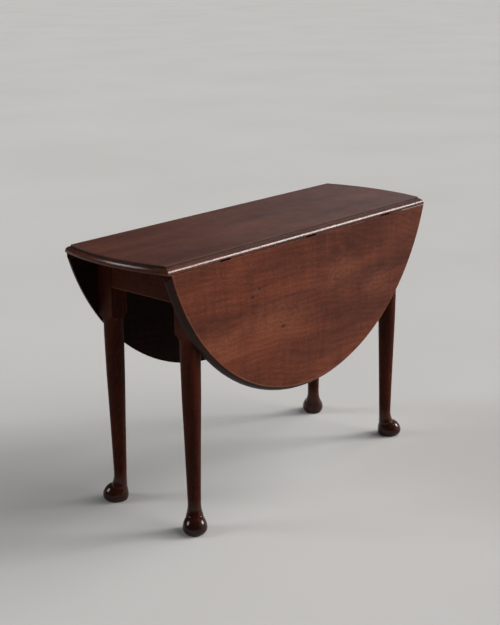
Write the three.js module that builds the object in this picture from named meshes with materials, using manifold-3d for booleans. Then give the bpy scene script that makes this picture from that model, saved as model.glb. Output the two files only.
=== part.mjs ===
// An oval drop leaf table: a fixed board with a hanging leaf along each long side.
// Two legs stand still and two swing out on wooden knuckle joints to hold the leaves up.
// Millimetres, +Z up. The origin is on the floor under the middle of the board.
// The hinge lines run along X. The front is the -Y side and the left end is the -X end.
import * as THREE from 'three';
import { mergeVertices } from 'three/addons/utils/BufferGeometryUtils.js';
import Module from 'manifold-3d';

// ---- Driving dimensions ----
const HEIGHT = 720;
const TOP_THICKNESS = 20;
const OVAL_HALF_LENGTH = 550;
const OVAL_HALF_WIDTH = 580;
const HINGE_LINE_Y = 168.5;
const FILLET = 4;
const EDGE_INSET = 12;
const COVE_CLEARANCE = 0.8;

const LEG_X = 412;
const LEG_Y = 138.5;
const BLOCK_WIDTH = 53;
const BLOCK_BOTTOM = 512;
const PAD_OFFSET = 13;
const PAD_RADIUS = 31;
const FLARE_TOP = 70;
const FLARE_LEAN = 0.12;

const RAIL_BOTTOM = 602;
const OUTER_RAIL_THICKNESS = 26;
const INNER_RAIL_THICKNESS = 22;
const END_RAIL_THICKNESS = 24;
const END_RAIL_SETBACK = 2;
const FLY_RAIL_DROP = 5;
const TENON_THICKNESS = 9;
const TENON_BOTTOM = 618;
const TENON_TOP = 684;
const TENON_LENGTH = 25;
const STUB_TENON_LENGTH = 8;
const REBATE_SKIN = 13.5;

const KNUCKLE_COUNT = 5;
const KNUCKLE_CLEARANCE = 0.7;
const KNUCKLE_PIN_RADIUS = 3.5;
const PEG_RADIUS = 3.5;
const GAP = 0.3;

const HINGE_POSITIONS = [-330, 0, 330];
const HINGE_WIDTH = 38;
const BARREL_RADIUS = 3.2;
const PLATE_THICKNESS = 2;
const BOARD_PLATE_REACH = 38;
const LEAF_PLATE_REACH = 62;
const HINGE_PIN_RADIUS = 1.5;
const TURNING_CLEARANCE = 0.5;

const GLUE_BLOCK_SIZE = 24;
const GLUE_BLOCK_LENGTH = 90;
const SCREW_TILT = THREE.MathUtils.degToRad(12);
const SCREW_SHANK_RADIUS = 2.5;
const SCREW_HEAD_RADIUS = 4.8;
const SCREW_HEAD_HEIGHT = 3;
const POCKET_RADIUS = 8;
const POCKET_TOP = 662;
const SCREW_TIP = 712;

// ---- Places that follow from them ----
const UNDERSIDE = HEIGHT - TOP_THICKNESS;
const RULE_RADIUS = TOP_THICKNESS - FILLET;
const RAIL_TOP = UNDERSIDE - GAP;
const BLOCK_HALF = BLOCK_WIDTH / 2;
const BLOCK_INNER_X = LEG_X - BLOCK_HALF;
const BLOCK_OUTER_X = LEG_X + BLOCK_HALF;
const BLOCK_INNER_Y = LEG_Y - BLOCK_HALF;
const BLOCK_OUTER_Y = LEG_Y + BLOCK_HALF;
const INNER_RAIL_MIDDLE_Y = BLOCK_INNER_Y + INNER_RAIL_THICKNESS / 2;
const INNER_RAIL_OUTER_Y = BLOCK_INNER_Y + INNER_RAIL_THICKNESS;
const OUTER_RAIL_INNER_Y = INNER_RAIL_OUTER_Y + GAP;
const KNUCKLE_RADIUS = OUTER_RAIL_THICKNESS / 2;
const KNUCKLE_Y = OUTER_RAIL_INNER_Y + KNUCKLE_RADIUS;
const END_RAIL_OUTER_X = BLOCK_OUTER_X - END_RAIL_SETBACK;
const END_RAIL_INNER_X = END_RAIL_OUTER_X - END_RAIL_THICKNESS;
const END_RAIL_MIDDLE_X = END_RAIL_OUTER_X - END_RAIL_THICKNESS / 2;
const REBATE_X = BLOCK_OUTER_X - REBATE_SKIN;
const PEG_HEIGHTS = [TENON_BOTTOM + 16, TENON_TOP - 16];
const QUARTER_TURN = Math.PI / 2;

const FINISHES = {
  top: { color: 0x6b3a26, roughness: 0.4, metalness: 0 },
  leaf: { color: 0x74392a, roughness: 0.42, metalness: 0 },
  frame: { color: 0x4a2216, roughness: 0.4, metalness: 0 },
  secondary: { color: 0x7d6243, roughness: 0.75, metalness: 0 },
  iron: { color: 0x2f2c2a, roughness: 0.6, metalness: 0.9 },
};

// ---- Solids: three.js shapes, joined and cut by manifold-3d ----
const wasm = await Module();
wasm.setup();

function solid(geometry) {
  geometry.deleteAttribute('normal');
  geometry.deleteAttribute('uv');
  const merged = mergeVertices(geometry, 1e-4);
  return new wasm.Manifold(new wasm.Mesh({
    numProp: 3,
    vertProperties: new Float32Array(merged.attributes.position.array),
    triVerts: new Uint32Array(merged.index.array),
  }));
}

function piece(name, body, finish) {
  const mesh = body.getMesh();
  const geometry = new THREE.BufferGeometry();
  geometry.setAttribute('position', new THREE.BufferAttribute(mesh.vertProperties, 3));
  geometry.setIndex(new THREE.BufferAttribute(mesh.triVerts, 1));
  geometry.computeVertexNormals();
  const result = new THREE.Mesh(geometry, new THREE.MeshStandardMaterial(FINISHES[finish]));
  result.name = name;
  return result;
}

function box(x0, x1, y0, y1, z0, z1) {
  const geometry = new THREE.BoxGeometry(x1 - x0, y1 - y0, z1 - z0);
  return solid(geometry.translate((x0 + x1) / 2, (y0 + y1) / 2, (z0 + z1) / 2));
}

function prism(plan, z0, z1, curveSegments = 6) {
  const geometry = new THREE.ExtrudeGeometry(plan, { depth: z1 - z0, bevelEnabled: false, curveSegments });
  return solid(geometry.translate(0, 0, z0));
}

// A section drawn in Y and Z, run along X.
function alongX(section, x0, x1, curveSegments = 8) {
  const geometry = new THREE.ExtrudeGeometry(section, { depth: x1 - x0, bevelEnabled: false, curveSegments });
  const toX = new THREE.Matrix4().makeBasis(
    new THREE.Vector3(0, 1, 0), new THREE.Vector3(0, 0, 1), new THREE.Vector3(1, 0, 0));
  return solid(geometry.applyMatrix4(toX).translate(x0, 0, 0));
}

// A turned solid about a vertical axis. Its profile lists radius and height pairs, from axis to axis.
function turned(profile, x, y, segments = 22) {
  const points = profile.map(([radius, height]) => new THREE.Vector2(radius, height));
  const geometry = new THREE.LatheGeometry(points, segments);
  return solid(geometry.rotateX(QUARTER_TURN).translate(x, y, 0));
}

function rod(radius, from, to, sides = 8) {
  const start = new THREE.Vector3(...from);
  const direction = new THREE.Vector3(...to).sub(start);
  const length = direction.length();
  const geometry = new THREE.CylinderGeometry(radius, radius, length, sides).translate(0, length / 2, 0);
  const turn = new THREE.Quaternion().setFromUnitVectors(new THREE.Vector3(0, 1, 0), direction.normalize());
  return solid(geometry.applyQuaternion(turn).translate(...from));
}

function joined(parts) {
  return parts.reduce((whole, part) => whole.add(part));
}

function without(body, cuts) {
  return cuts.reduce((rest, cut) => rest.subtract(cut), body);
}

// ---- The oval top: one moulded oval, sawn into a board and two leaves ----
function mouldedOval() {
  const profile = [[0, UNDERSIDE], [OVAL_HALF_WIDTH, UNDERSIDE]];
  const steps = 4;
  for (let step = 1; step <= steps; step += 1) {
    const angle = step * QUARTER_TURN / steps;
    const radius = OVAL_HALF_WIDTH - EDGE_INSET * (1 - Math.cos(angle));
    profile.push([radius, UNDERSIDE + RULE_RADIUS * Math.sin(angle)]);
  }
  profile.push([OVAL_HALF_WIDTH - EDGE_INSET, HEIGHT], [0, HEIGHT]);
  const points = profile.map(([radius, height]) => new THREE.Vector2(radius, height));
  const oval = new THREE.LatheGeometry(points, 96).rotateX(QUARTER_TURN);
  return solid(oval.scale(OVAL_HALF_LENGTH / OVAL_HALF_WIDTH, 1, 1));
}

// The board's long edges: a fillet, then an ovolo struck from the hinge pin.
function boardSection() {
  const section = new THREE.Shape();
  section.moveTo(-HINGE_LINE_Y - RULE_RADIUS, UNDERSIDE);
  section.lineTo(HINGE_LINE_Y + RULE_RADIUS, UNDERSIDE);
  section.absarc(HINGE_LINE_Y, UNDERSIDE, RULE_RADIUS, 0, QUARTER_TURN, false);
  section.lineTo(HINGE_LINE_Y, HEIGHT);
  section.lineTo(-HINGE_LINE_Y, HEIGHT);
  section.absarc(-HINGE_LINE_Y, UNDERSIDE, RULE_RADIUS, QUARTER_TURN, Math.PI, false);
  return section;
}

// The leaf's hinged edge: a cove round the ovolo and a thin lip that meets the fillet.
function leafSection() {
  const coveRadius = RULE_RADIUS + COVE_CLEARANCE;
  const farEdge = OVAL_HALF_WIDTH + 10;
  const lipStart = Math.acos(COVE_CLEARANCE / 2 / coveRadius);
  const section = new THREE.Shape();
  section.moveTo(farEdge, UNDERSIDE);
  section.lineTo(farEdge, HEIGHT);
  section.lineTo(HINGE_LINE_Y + COVE_CLEARANCE / 2, HEIGHT);
  section.absarc(HINGE_LINE_Y, UNDERSIDE, coveRadius, lipStart, 0, true);
  return section;
}

function hingeRecess(x, fromY, toY) {
  const half = HINGE_WIDTH / 2 + GAP;
  return box(x - half, x + half, fromY, toY, UNDERSIDE - 1, UNDERSIDE + PLATE_THICKNESS + GAP);
}

function barrelGroove(x, y) {
  const half = HINGE_WIDTH / 2 + GAP;
  return rod(BARREL_RADIUS + 2 * GAP, [x - half, y, UNDERSIDE], [x + half, y, UNDERSIDE], 12);
}

function boardHingeCuts() {
  const cuts = [];
  for (const x of HINGE_POSITIONS) {
    for (const side of [-1, 1]) {
      const inner = side * (HINGE_LINE_Y - BOARD_PLATE_REACH - GAP);
      const outer = side * (HINGE_LINE_Y + RULE_RADIUS + 1);
      cuts.push(hingeRecess(x, Math.min(inner, outer), Math.max(inner, outer)));
      cuts.push(barrelGroove(x, side * HINGE_LINE_Y));
    }
  }
  return cuts;
}

function topBoard(oval) {
  const reach = OVAL_HALF_LENGTH + 10;
  const board = oval.intersect(alongX(boardSection(), -reach, reach, 6));
  return piece('top_board', without(board, [...boardHingeCuts(), ...allScrewHoles()]), 'top');
}

function leafBody(oval) {
  const reach = OVAL_HALF_LENGTH + 10;
  const leaf = oval.intersect(alongX(leafSection(), -reach, reach, 6));
  const cuts = HINGE_POSITIONS.map(
    (x) => hingeRecess(x, HINGE_LINE_Y + RULE_RADIUS, HINGE_LINE_Y + LEAF_PLATE_REACH + GAP));
  return without(leaf, cuts);
}

// ---- Table hinges: two iron plates and a pin, the barrel half let into the board ----
function hingePlate(x, reach, direction, knuckles) {
  const knuckleWidth = HINGE_WIDTH / KNUCKLE_COUNT;
  const clear = BARREL_RADIUS + 2 * GAP;
  const near = HINGE_LINE_Y + direction * clear;
  const far = HINGE_LINE_Y + direction * reach;
  const half = HINGE_WIDTH / 2;
  const top = UNDERSIDE + PLATE_THICKNESS;
  const parts = [box(x - half, x + half, Math.min(near, far), Math.max(near, far), UNDERSIDE, top)];
  for (const index of knuckles) {
    const start = x - half + index * knuckleWidth + GAP / 2;
    const end = start + knuckleWidth - GAP;
    const neck = HINGE_LINE_Y + direction * (clear + 1);
    parts.push(box(start, end, Math.min(HINGE_LINE_Y, neck), Math.max(HINGE_LINE_Y, neck), UNDERSIDE, top));
    parts.push(rod(BARREL_RADIUS, [start, HINGE_LINE_Y, UNDERSIDE], [end, HINGE_LINE_Y, UNDERSIDE], 12));
  }
  const bore = rod(HINGE_PIN_RADIUS + TURNING_CLEARANCE,
    [x - HINGE_WIDTH, HINGE_LINE_Y, UNDERSIDE], [x + HINGE_WIDTH, HINGE_LINE_Y, UNDERSIDE]);
  return joined(parts).subtract(bore);
}

function hingePin(x) {
  const half = HINGE_WIDTH / 2;
  return rod(HINGE_PIN_RADIUS, [x - half, HINGE_LINE_Y, UNDERSIDE], [x + half, HINGE_LINE_Y, UNDERSIDE]);
}

// ---- Legs: square block, turned taper and a pad foot set outwards on the diagonal ----
// Above the pad the ankle flares towards the toe, while the heel stays flush.
function ankleFlare() {
  const points = [[0, 20], [18, 20], [21.4, 42], [19.6, 48], [18.1, 55], [17.1, 62.6], [16.2, FLARE_TOP], [0, FLARE_TOP]]
    .map(([radius, height]) => new THREE.Vector2(radius, height - FLARE_TOP));
  const lean = new THREE.Matrix4().set(
    1, 0, -FLARE_LEAN, 0,
    0, 1, -FLARE_LEAN, 0,
    0, 0, 1, 0,
    0, 0, 0, 1);
  const geometry = new THREE.LatheGeometry(points, 22).rotateX(QUARTER_TURN);
  return solid(geometry.applyMatrix4(lean).translate(LEG_X, LEG_Y, FLARE_TOP));
}

function legBody() {
  const corners = turned([
    [0, BLOCK_BOTTOM - 4], [25.5, BLOCK_BOTTOM - 4], [26.5, BLOCK_BOTTOM],
    [29.5, BLOCK_BOTTOM + 5], [33.5, BLOCK_BOTTOM + 9], [37.6, BLOCK_BOTTOM + 11],
    [40, BLOCK_BOTTOM + 12], [40, RAIL_TOP], [0, RAIL_TOP],
  ], LEG_X, LEG_Y);
  const stock = box(BLOCK_INNER_X, BLOCK_OUTER_X, BLOCK_INNER_Y, BLOCK_OUTER_Y, BLOCK_BOTTOM - 4, RAIL_TOP);
  const taper = turned([
    [0, 0], [15, 0], [16.8, 4], [16.7, 52],
    [17.2, 80], [19, 160], [21.2, 250], [24.2, 360], [25.6, 460],
    [25.6, BLOCK_BOTTOM - 3], [0, BLOCK_BOTTOM - 3],
  ], LEG_X, LEG_Y);
  const pad = turned([
    [0, 0], [24.3, 0], [27.6, 3], [30, 8], [PAD_RADIUS, 14],
    [30.4, 21], [28.3, 28], [24, 34], [17, 39], [8, 41.6], [0, 42],
  ], LEG_X + PAD_OFFSET, LEG_Y + PAD_OFFSET);
  return joined([stock.intersect(corners), taper, ankleFlare(), pad]);
}

// A tenon that runs along X from a shoulder, with its mortise where clearance is given.
function tenonX(fromX, toX, y, clearance = 0) {
  const half = TENON_THICKNESS / 2 + clearance;
  return box(fromX, toX, y - half, y + half, TENON_BOTTOM - clearance, TENON_TOP + clearance);
}

function tenonY(fromY, toY, x, clearance = 0) {
  const half = TENON_THICKNESS / 2 + clearance;
  return box(x - half, x + half, fromY, toY, TENON_BOTTOM - clearance, TENON_TOP + clearance);
}

// Pegs through the rail tenon run along Y, and pegs through the end rail's tenon run along X.
const SIDE_PEG_X = BLOCK_INNER_X + 13;
const SIDE_PEG_END_Y = KNUCKLE_Y - 10;
const END_PEG_Y = BLOCK_INNER_Y + 12;
const END_PEG_END_X = END_RAIL_MIDDLE_X - 10;

function sidePeg(z, clearance = 0) {
  const from = [SIDE_PEG_X, BLOCK_OUTER_Y + clearance, z];
  return rod(PEG_RADIUS + clearance, from, [SIDE_PEG_X, SIDE_PEG_END_Y - clearance, z]);
}

function endPeg(z, clearance = 0) {
  const from = [BLOCK_OUTER_X + clearance, END_PEG_Y, z];
  return rod(PEG_RADIUS + clearance, from, [END_PEG_END_X - clearance, END_PEG_Y, z]);
}

function sideTenonCuts() {
  const mortise = tenonX(BLOCK_INNER_X - 1, BLOCK_INNER_X + TENON_LENGTH + GAP, KNUCKLE_Y, GAP);
  return [mortise, ...PEG_HEIGHTS.map((z) => sidePeg(z, 1.3 * GAP))];
}

// Both legs are drawn at the +X, +Y corner.
function fixedLeg() {
  const innerMortise = tenonX(BLOCK_INNER_X - 1, BLOCK_INNER_X + 20 + GAP, INNER_RAIL_MIDDLE_Y, GAP);
  const endMortise = tenonY(BLOCK_INNER_Y - 1, BLOCK_INNER_Y + TENON_LENGTH + GAP, END_RAIL_MIDDLE_X, GAP);
  const endPegHoles = PEG_HEIGHTS.map((z) => endPeg(z, 1.3 * GAP));
  return without(legBody(), [...sideTenonCuts(), innerMortise, endMortise, ...endPegHoles]);
}

// The gate leg is rebated at its inner corner, so that it closes over the corner of the frame.
function gateLeg() {
  const rebate = box(BLOCK_INNER_X - 1, REBATE_X, BLOCK_INNER_Y - 1, OUTER_RAIL_INNER_Y + GAP, RAIL_BOTTOM - 2, HEIGHT);
  return without(legBody(), [rebate, ...sideTenonCuts()]);
}

// ---- Wooden knuckle joint between the fixed rail and the fly rail ----
function levelHeights(index) {
  const pitch = (RAIL_TOP - RAIL_BOTTOM) / KNUCKLE_COUNT;
  return [RAIL_BOTTOM + index * pitch + GAP / 2, RAIL_BOTTOM + (index + 1) * pitch - GAP / 2];
}

// The rail's end, hollowed round the other rail's barrel and cut back at 45 degrees outside it.
function railPlan(length) {
  const hollow = KNUCKLE_RADIUS + KNUCKLE_CLEARANCE;
  const innerAngle = -Math.asin(KNUCKLE_RADIUS / hollow);
  const plan = new THREE.Shape();
  plan.moveTo(length, -KNUCKLE_RADIUS);
  plan.lineTo(length, KNUCKLE_RADIUS);
  plan.lineTo(KNUCKLE_RADIUS + 0.5, KNUCKLE_RADIUS);
  plan.absarc(0, 0, hollow, Math.PI / 4 - 0.03, innerAngle, true);
  return plan;
}

function barrelPlan() {
  const plan = new THREE.Shape();
  plan.moveTo(2 * KNUCKLE_RADIUS, -KNUCKLE_RADIUS);
  plan.lineTo(2 * KNUCKLE_RADIUS, KNUCKLE_RADIUS);
  plan.lineTo(KNUCKLE_RADIUS + 0.5, KNUCKLE_RADIUS);
  plan.absarc(0, 0, KNUCKLE_RADIUS, Math.PI / 4 - 0.03, 1.5 * Math.PI, false);
  return plan;
}

// A knuckled rail that runs from the pin to a leg block on the +X side, drawn with its pin at Y = 0.
function knuckledRail(levels, top) {
  const parts = [prism(railPlan(BLOCK_INNER_X - GAP), RAIL_BOTTOM, top)];
  for (const index of levels) {
    const [low, high] = levelHeights(index);
    parts.push(prism(barrelPlan(), low, Math.min(high, top), 12));
  }
  parts.push(tenonX(BLOCK_INNER_X - 2, BLOCK_INNER_X + TENON_LENGTH, 0));
  const pinHole = rod(KNUCKLE_PIN_RADIUS + TURNING_CLEARANCE, [0, 0, RAIL_BOTTOM - 5], [0, 0, HEIGHT], 10);
  return joined(parts).subtract(pinHole);
}

function fixedRail() {
  const rail = knuckledRail([0, 2, 4], RAIL_TOP).translate([0, KNUCKLE_Y, 0]);
  return without(rail, PEG_HEIGHTS.map((z) => sidePeg(z, 1.3 * GAP)));
}

function flyRail() {
  const rail = knuckledRail([1, 3], UNDERSIDE - FLY_RAIL_DROP).translate([0, KNUCKLE_Y, 0]);
  return without(rail, PEG_HEIGHTS.map((z) => sidePeg(z, 1.3 * GAP)));
}

function knucklePin() {
  return rod(KNUCKLE_PIN_RADIUS, [0, KNUCKLE_Y, RAIL_BOTTOM - 2], [0, KNUCKLE_Y, RAIL_TOP - 2], 10);
}

// ---- Fixed frame: inner rail, end rail, glue blocks and pocket screws ----
function pocketScrew(x, radius, fromZ, toZ) {
  const at = (z) => [x, INNER_RAIL_MIDDLE_Y + (z - RAIL_TOP) * Math.tan(SCREW_TILT), z];
  return rod(radius, at(fromZ), at(toZ));
}

function screwCuts(x) {
  const pocket = pocketScrew(x, POCKET_RADIUS, POCKET_TOP - 50, POCKET_TOP);
  return [pocket, pocketScrew(x, SCREW_SHANK_RADIUS + GAP, POCKET_TOP - 1, SCREW_TIP + 1)];
}

function screwBody(x) {
  const headTop = POCKET_TOP - GAP;
  const head = pocketScrew(x, SCREW_HEAD_RADIUS, headTop - SCREW_HEAD_HEIGHT, headTop);
  return head.add(pocketScrew(x, SCREW_SHANK_RADIUS, headTop - 1, SCREW_TIP));
}

// The end rail's screw is the same one, moved to the end rail and turned to face the middle.
function toLeftEnd(body) {
  const inward = INNER_RAIL_MIDDLE_Y;
  return body.translate([0, -inward, 0]).rotate([0, 0, 90]).translate([-END_RAIL_MIDDLE_X, 0, 0]);
}

const SIDE_SCREW_X = [-190, 190];

function allScrewHoles() {
  const half = [...SIDE_SCREW_X.flatMap(screwCuts), ...screwCuts(0).map(toLeftEnd)];
  const aboveRails = half.map((cut) => cut.intersect(
    box(-OVAL_HALF_LENGTH, OVAL_HALF_LENGTH, -HINGE_LINE_Y, HINGE_LINE_Y, UNDERSIDE - 1, HEIGHT)));
  return [...aboveRails, ...aboveRails.map((cut) => cut.rotate([0, 0, 180]))];
}

function innerRail() {
  const gateEnd = -END_RAIL_INNER_X + GAP;
  const fixedEnd = BLOCK_INNER_X - GAP;
  const board = box(gateEnd, fixedEnd, BLOCK_INNER_Y, INNER_RAIL_OUTER_Y, RAIL_BOTTOM, RAIL_TOP);
  const longTenon = tenonX(fixedEnd - 2, BLOCK_INNER_X + 20, INNER_RAIL_MIDDLE_Y);
  const stubTenon = tenonX(gateEnd - STUB_TENON_LENGTH, gateEnd + 2, INNER_RAIL_MIDDLE_Y);
  return without(joined([board, longTenon, stubTenon]), SIDE_SCREW_X.flatMap(screwCuts));
}

// The left end rail is tenoned into the front fixed leg. Behind the back gate leg's rebate
// it thins to a tongue, which takes the back inner rail's stub tenon.
function leftEndRail() {
  const fixedEnd = -BLOCK_INNER_Y + GAP;
  const gateEnd = BLOCK_INNER_Y - GAP;
  const board = box(-END_RAIL_OUTER_X, -END_RAIL_INNER_X, fixedEnd, gateEnd, RAIL_BOTTOM, RAIL_TOP);
  const tongue = box(-REBATE_X + 2 * GAP, -END_RAIL_INNER_X, gateEnd - 2, INNER_RAIL_OUTER_Y, RAIL_BOTTOM, RAIL_TOP);
  const tenon = tenonY(-BLOCK_INNER_Y - TENON_LENGTH, fixedEnd + 2, -END_RAIL_MIDDLE_X);
  const stubMortise = tenonX(
    -END_RAIL_INNER_X - STUB_TENON_LENGTH - GAP, -END_RAIL_INNER_X + 1, INNER_RAIL_MIDDLE_Y, GAP);
  const pegHoles = PEG_HEIGHTS.map((z) => endPeg(z, 1.3 * GAP).rotate([0, 0, 180]));
  return without(joined([board, tongue, tenon]), [stubMortise, ...pegHoles, ...screwCuts(0).map(toLeftEnd)]);
}

function glueBlock() {
  const section = new THREE.Shape();
  section.moveTo(BLOCK_INNER_Y - GAP, RAIL_TOP);
  section.lineTo(BLOCK_INNER_Y - GAP - GLUE_BLOCK_SIZE, RAIL_TOP);
  section.lineTo(BLOCK_INNER_Y - GAP, RAIL_TOP - GLUE_BLOCK_SIZE);
  return alongX(section, -GLUE_BLOCK_LENGTH / 2, GLUE_BLOCK_LENGTH / 2);
}

// ---- One side of the table, drawn as the back: leaf, gate at the left, fixed leg at the right ----
const mirroredX = (body) => body.mirror([1, 0, 0]);

function leafPieces(side, oval) {
  const group = new THREE.Group();
  const add = (name, body, finish) => group.add(piece(`${side}_${name}`, body, finish));
  add('leaf', leafBody(oval), 'leaf');
  HINGE_POSITIONS.forEach((x, index) => {
    add(`hinge_${index + 1}_leaf_plate`, hingePlate(x, LEAF_PLATE_REACH, 1, [1, 3]), 'iron');
  });
  // The leaf is drawn level with the board, then hung down about the hinge pins.
  const hung = new THREE.Group();
  group.position.set(0, -HINGE_LINE_Y, -UNDERSIDE);
  hung.add(group);
  hung.rotation.x = -QUARTER_TURN;
  hung.position.set(0, HINGE_LINE_Y, UNDERSIDE);
  return hung;
}

function tableSide(side, ends, oval) {
  const group = new THREE.Group();
  const add = (name, body, finish) => group.add(piece(name, body, finish));
  group.add(leafPieces(side, oval));
  HINGE_POSITIONS.forEach((x, index) => {
    add(`${side}_hinge_${index + 1}_board_plate`, hingePlate(x, BOARD_PLATE_REACH, -1, [0, 2, 4]), 'iron');
    add(`${side}_hinge_${index + 1}_pin`, hingePin(x), 'iron');
  });
  add(`${side}_fixed_rail`, fixedRail(), 'frame');
  add(`${side}_fly_rail`, mirroredX(flyRail()), 'frame');
  add(`${side}_inner_rail`, innerRail(), 'secondary');
  add(`${side}_knuckle_pin`, knucklePin(), 'iron');
  add(`${side}_${ends.fixed}_fixed_leg`, fixedLeg(), 'frame');
  add(`${side}_${ends.gate}_gate_leg`, mirroredX(gateLeg()), 'frame');
  PEG_HEIGHTS.forEach((z, index) => {
    const place = index === 0 ? 'lower' : 'upper';
    add(`${side}_fixed_leg_side_peg_${place}`, sidePeg(z), 'frame');
    add(`${side}_fixed_leg_end_peg_${place}`, endPeg(z), 'frame');
    add(`${side}_gate_leg_peg_${place}`, mirroredX(sidePeg(z)), 'frame');
  });
  SIDE_SCREW_X.forEach((x, index) => add(`${side}_pocket_screw_${index + 1}`, screwBody(x), 'iron'));
  [-300, 300].forEach((x, index) => {
    add(`${side}_glue_block_${index + 1}`, glueBlock().translate([x, 0, 0]), 'secondary');
  });
  add(`${ends.gate}_end_rail`, leftEndRail(), 'frame');
  add(`${ends.gate}_end_pocket_screw`, toLeftEnd(screwBody(0)), 'iron');
  const toEndRail = END_RAIL_INNER_X - BLOCK_INNER_Y;
  const endGlueBlock = glueBlock().rotate([0, 0, 90]).translate([-toEndRail, 55, 0]);
  add(`${ends.gate}_end_glue_block`, endGlueBlock, 'secondary');
  return group;
}

const table = new THREE.Group();
const oval = mouldedOval();
table.add(topBoard(oval));
table.add(tableSide('back', { gate: 'left', fixed: 'right' }, oval));
const front = tableSide('front', { gate: 'right', fixed: 'left' }, oval);
front.rotation.z = Math.PI;
table.add(front);

export default table;
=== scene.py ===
import math

import bmesh
import bpy
from mathutils import Matrix, Vector


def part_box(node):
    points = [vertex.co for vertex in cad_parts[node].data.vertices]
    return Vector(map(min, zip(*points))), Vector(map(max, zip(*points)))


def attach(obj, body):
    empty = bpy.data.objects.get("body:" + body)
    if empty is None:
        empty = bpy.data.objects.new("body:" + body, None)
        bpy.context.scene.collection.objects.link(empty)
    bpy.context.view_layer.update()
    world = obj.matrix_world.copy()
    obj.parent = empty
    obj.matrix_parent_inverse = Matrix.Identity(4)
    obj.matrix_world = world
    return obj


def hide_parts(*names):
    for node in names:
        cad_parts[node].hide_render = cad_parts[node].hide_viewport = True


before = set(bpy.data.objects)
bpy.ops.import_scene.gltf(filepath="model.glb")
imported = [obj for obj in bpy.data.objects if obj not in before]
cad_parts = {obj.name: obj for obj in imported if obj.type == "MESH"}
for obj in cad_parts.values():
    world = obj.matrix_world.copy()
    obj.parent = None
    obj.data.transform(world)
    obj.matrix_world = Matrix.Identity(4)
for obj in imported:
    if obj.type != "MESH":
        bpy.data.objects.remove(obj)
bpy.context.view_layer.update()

# ---- Camera ----
# A moderate telephoto just above the table, looking at it over its left front corner.
# The frame is shifted down a touch, as on a camera with a falling front.
CAMERA_PLACE = (-2.3886, -2.1137, 1.4256)
CAMERA_YAW = math.radians(-48.104)
CAMERA_PITCH = math.radians(16.446)
CAMERA_ROLL = math.radians(-0.686)
LENS_LENGTH = 69.42
SENSOR_WIDTH = 36
FRAME_SHIFT = (-0.0019, -0.016)

forward = Vector((-math.sin(CAMERA_YAW) * math.cos(CAMERA_PITCH),
                  math.cos(CAMERA_YAW) * math.cos(CAMERA_PITCH),
                  -math.sin(CAMERA_PITCH)))
level_right = forward.cross(Vector((0, 0, 1))).normalized()
level_up = level_right.cross(forward)
roll = Matrix.Rotation(CAMERA_ROLL, 3, -forward)
axes = Matrix((roll @ level_right, roll @ level_up, -forward)).transposed()
camera = bpy.data.objects.new("camera", bpy.data.cameras.new("camera"))
camera.data.lens = LENS_LENGTH
camera.data.sensor_width = SENSOR_WIDTH
camera.data.shift_x, camera.data.shift_y = FRAME_SHIFT
camera.matrix_world = Matrix.Translation(CAMERA_PLACE) @ axes.to_4x4()
bpy.context.scene.collection.objects.link(camera)
bpy.context.scene.camera = camera

# ---- Board ----
# The fixed middle of the top: one wide mahogany board, 20 mm thick, its grain running lengthwise.
# Its long edges carry the ovolo of the rule joint, and its bowed ends the same moulding, cut
# by hand with a plane. The underside is let in for the hinges, and the top is waxed and worn.
board_low, board_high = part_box("top_board")
pin_low, pin_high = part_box("back_hinge_1_pin")
TOP = board_high.z
UNDERSIDE = board_low.z
THICKNESS = TOP - UNDERSIDE
HINGE_Y = (pin_low.y + pin_high.y) / 2
RULE_RADIUS = board_high.y - HINGE_Y
OVAL_HALF_LENGTH = board_high.x
OVAL_HALF_WIDTH = HINGE_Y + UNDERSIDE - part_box("back_leaf")[0].z
EDGE_INSET = 0.012
ARRIS = 0.0007
SHARP_ANGLE = math.radians(30)
SIDE_STEPS = 40
END_STEPS = 24
OVOLO_STEPS = 10
BOARD_TONES = ((0.046, 0.0098, 0.0038), (0.074, 0.0180, 0.0074), (0.114, 0.0325, 0.0148))


def ovolo_reach(height, depth):
    """How far out an ovolo of this depth stands at a height over the underside."""
    share = min(height / RULE_RADIUS, 1)
    return depth * math.sqrt(1 - share * share)


def oval_x(y, height):
    """Half the length of the oval at a distance y from its middle line."""
    half_width = OVAL_HALF_WIDTH - EDGE_INSET + ovolo_reach(height, EDGE_INSET)
    half_length = half_width * OVAL_HALF_LENGTH / OVAL_HALF_WIDTH
    return half_length * math.sqrt(1 - (y / half_width) ** 2)


def board_outline(height):
    edge = HINGE_Y + ovolo_reach(height, RULE_RADIUS)
    corner = oval_x(edge, height)
    points = []
    for turn in (1, -1):
        for step in range(SIDE_STEPS):
            along = 2 * step / SIDE_STEPS - 1
            points.append(Vector((turn * along * corner, -turn * edge, UNDERSIDE + height)))
        for step in range(END_STEPS):
            y = (2 * step / END_STEPS - 1) * edge
            points.append(Vector((turn * oval_x(y, height), turn * y, UNDERSIDE + height)))
    return points


def settle_order(mesh):
    """Numbers a mesh's corners, edges and faces by their place, so that every run is the same."""
    for parts in (mesh.verts, mesh.edges, mesh.faces):
        places = {}
        for part in parts:
            corners = getattr(part, "verts", [part])
            middle = sum((corner.co for corner in corners), Vector()) / len(corners)
            places[part] = tuple(round(value, 7) for value in middle)
        ranks = {part: rank for rank, part in enumerate(sorted(places, key=places.get))}
        parts.sort(key=ranks.get)


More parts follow.
